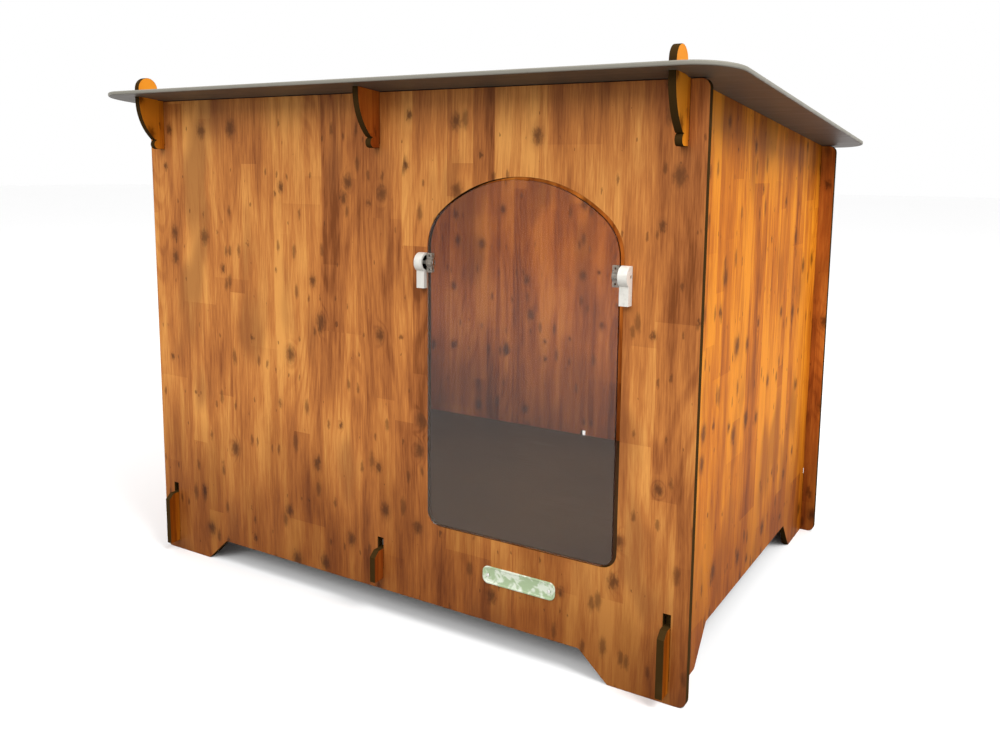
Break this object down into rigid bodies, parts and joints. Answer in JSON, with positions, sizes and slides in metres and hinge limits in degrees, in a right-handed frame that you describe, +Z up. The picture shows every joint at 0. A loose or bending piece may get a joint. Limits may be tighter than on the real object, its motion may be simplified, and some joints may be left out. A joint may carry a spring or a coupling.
{
  "type": "pet kennel",
  "caption": "Flat-panel kennel of wood-decor sheets held by hooks and slots, with a lift-off sloping roof and a clear arched swing door.",
  "frame": {"origin": "centre of the bounding box at ground level", "axes": "+X to the right along the front, +Y from the front to the rear, +Z up"},
  "size_m": [1.099, 0.8216, 0.8379],
  "materials": {
    "wood_decor": "satin printed wood decor on compact laminate with dark core edges",
    "grey_laminate": "matt grey-brown compact laminate",
    "clear_sheet": "clear, slightly smoky acrylic sheet",
    "white_plastic": "moulded white plastic",
    "lug_plastic": "translucent grey plastic",
    "pin_steel": "turned stainless steel",
    "fastener": "stainless steel",
    "plate_metal": "printed sheet, left blank"
  },
  "bodies": {
    "kennel": {"front_panel": "wood_decor", "rear_panel": "wood_decor", "left_side_wall": "wood_decor", "right_side_wall": "wood_decor", "floor_joist": "wood_decor", "roof_rafter": "wood_decor", "floor_panel": "grey_laminate", "floor_batten_left": "grey_laminate", "floor_batten_right": "grey_laminate", "batten_screws": "fastener", "hinge_block_left": "white_plastic", "hinge_block_right": "white_plastic", "hinge_pin_left": "pin_steel", "hinge_pin_right": "pin_steel", "hinge_washers": "fastener", "hinge_screws": "fastener", "blank_plate": "plate_metal", "plate_rivets": "fastener"},
    "roof": {"roof_panel": "grey_laminate"},
    "door": {"door_flap": "clear_sheet", "door_lug_left": "lug_plastic", "door_lug_right": "lug_plastic", "lug_rivets": "fastener"}
  },
  "joints": [
    {"name": "door_swing", "type": "hinge", "parent": "kennel", "child": "door", "pos_m": [0.2435, -0.34025, 0.559], "axis": [1, 0, 0], "range_deg": [-85, 85]},
    {"name": "roof_lift", "type": "slide", "parent": "kennel", "child": "roof", "axis": [0, 0, 1], "range_m": [0, 0.06]}
  ]
}
